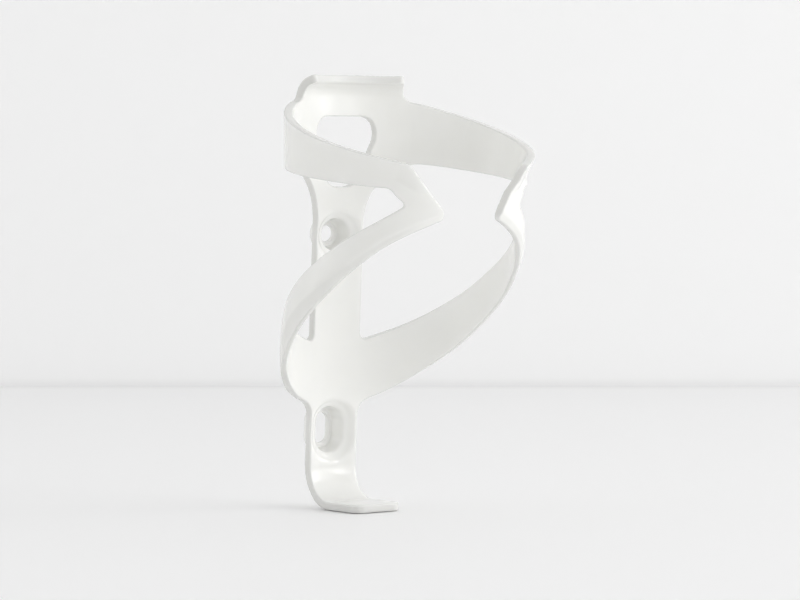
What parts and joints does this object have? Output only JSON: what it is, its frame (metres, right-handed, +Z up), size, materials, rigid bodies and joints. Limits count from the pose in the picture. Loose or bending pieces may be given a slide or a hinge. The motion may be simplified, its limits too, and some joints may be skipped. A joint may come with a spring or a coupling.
{
  "type": "water bottle cage",
  "caption": "One-piece moulded plastic cage that grips a bicycle water bottle, with a band, sloping arms, a foot under the bottle and bolt bosses for the frame.",
  "frame": {"origin": "on the bottle's axis, at the height of the cage's lowest point, the underside of the bend between spine and foot", "axes": "+Z up the bottle's axis, the way the bottle leaves; +Y from the bottle towards the spine and the bicycle's frame; the open front faces -Y; the cage is the same on both sides of X = 0"},
  "size_m": [0.0794, 0.0818, 0.1408],
  "materials": {
    "shell": "semi-gloss, slightly translucent white"
  },
  "bodies": {
    "root": {"back_plate": "shell", "head_panel": "shell", "top_hook": "shell", "left_band": "shell", "right_band": "shell", "left_wing": "shell", "right_wing": "shell", "left_arm": "shell", "right_arm": "shell", "upper_boss": "shell", "lower_boss": "shell", "foot_bend": "shell", "foot_rest": "shell"}
  },
  "joints": []
}
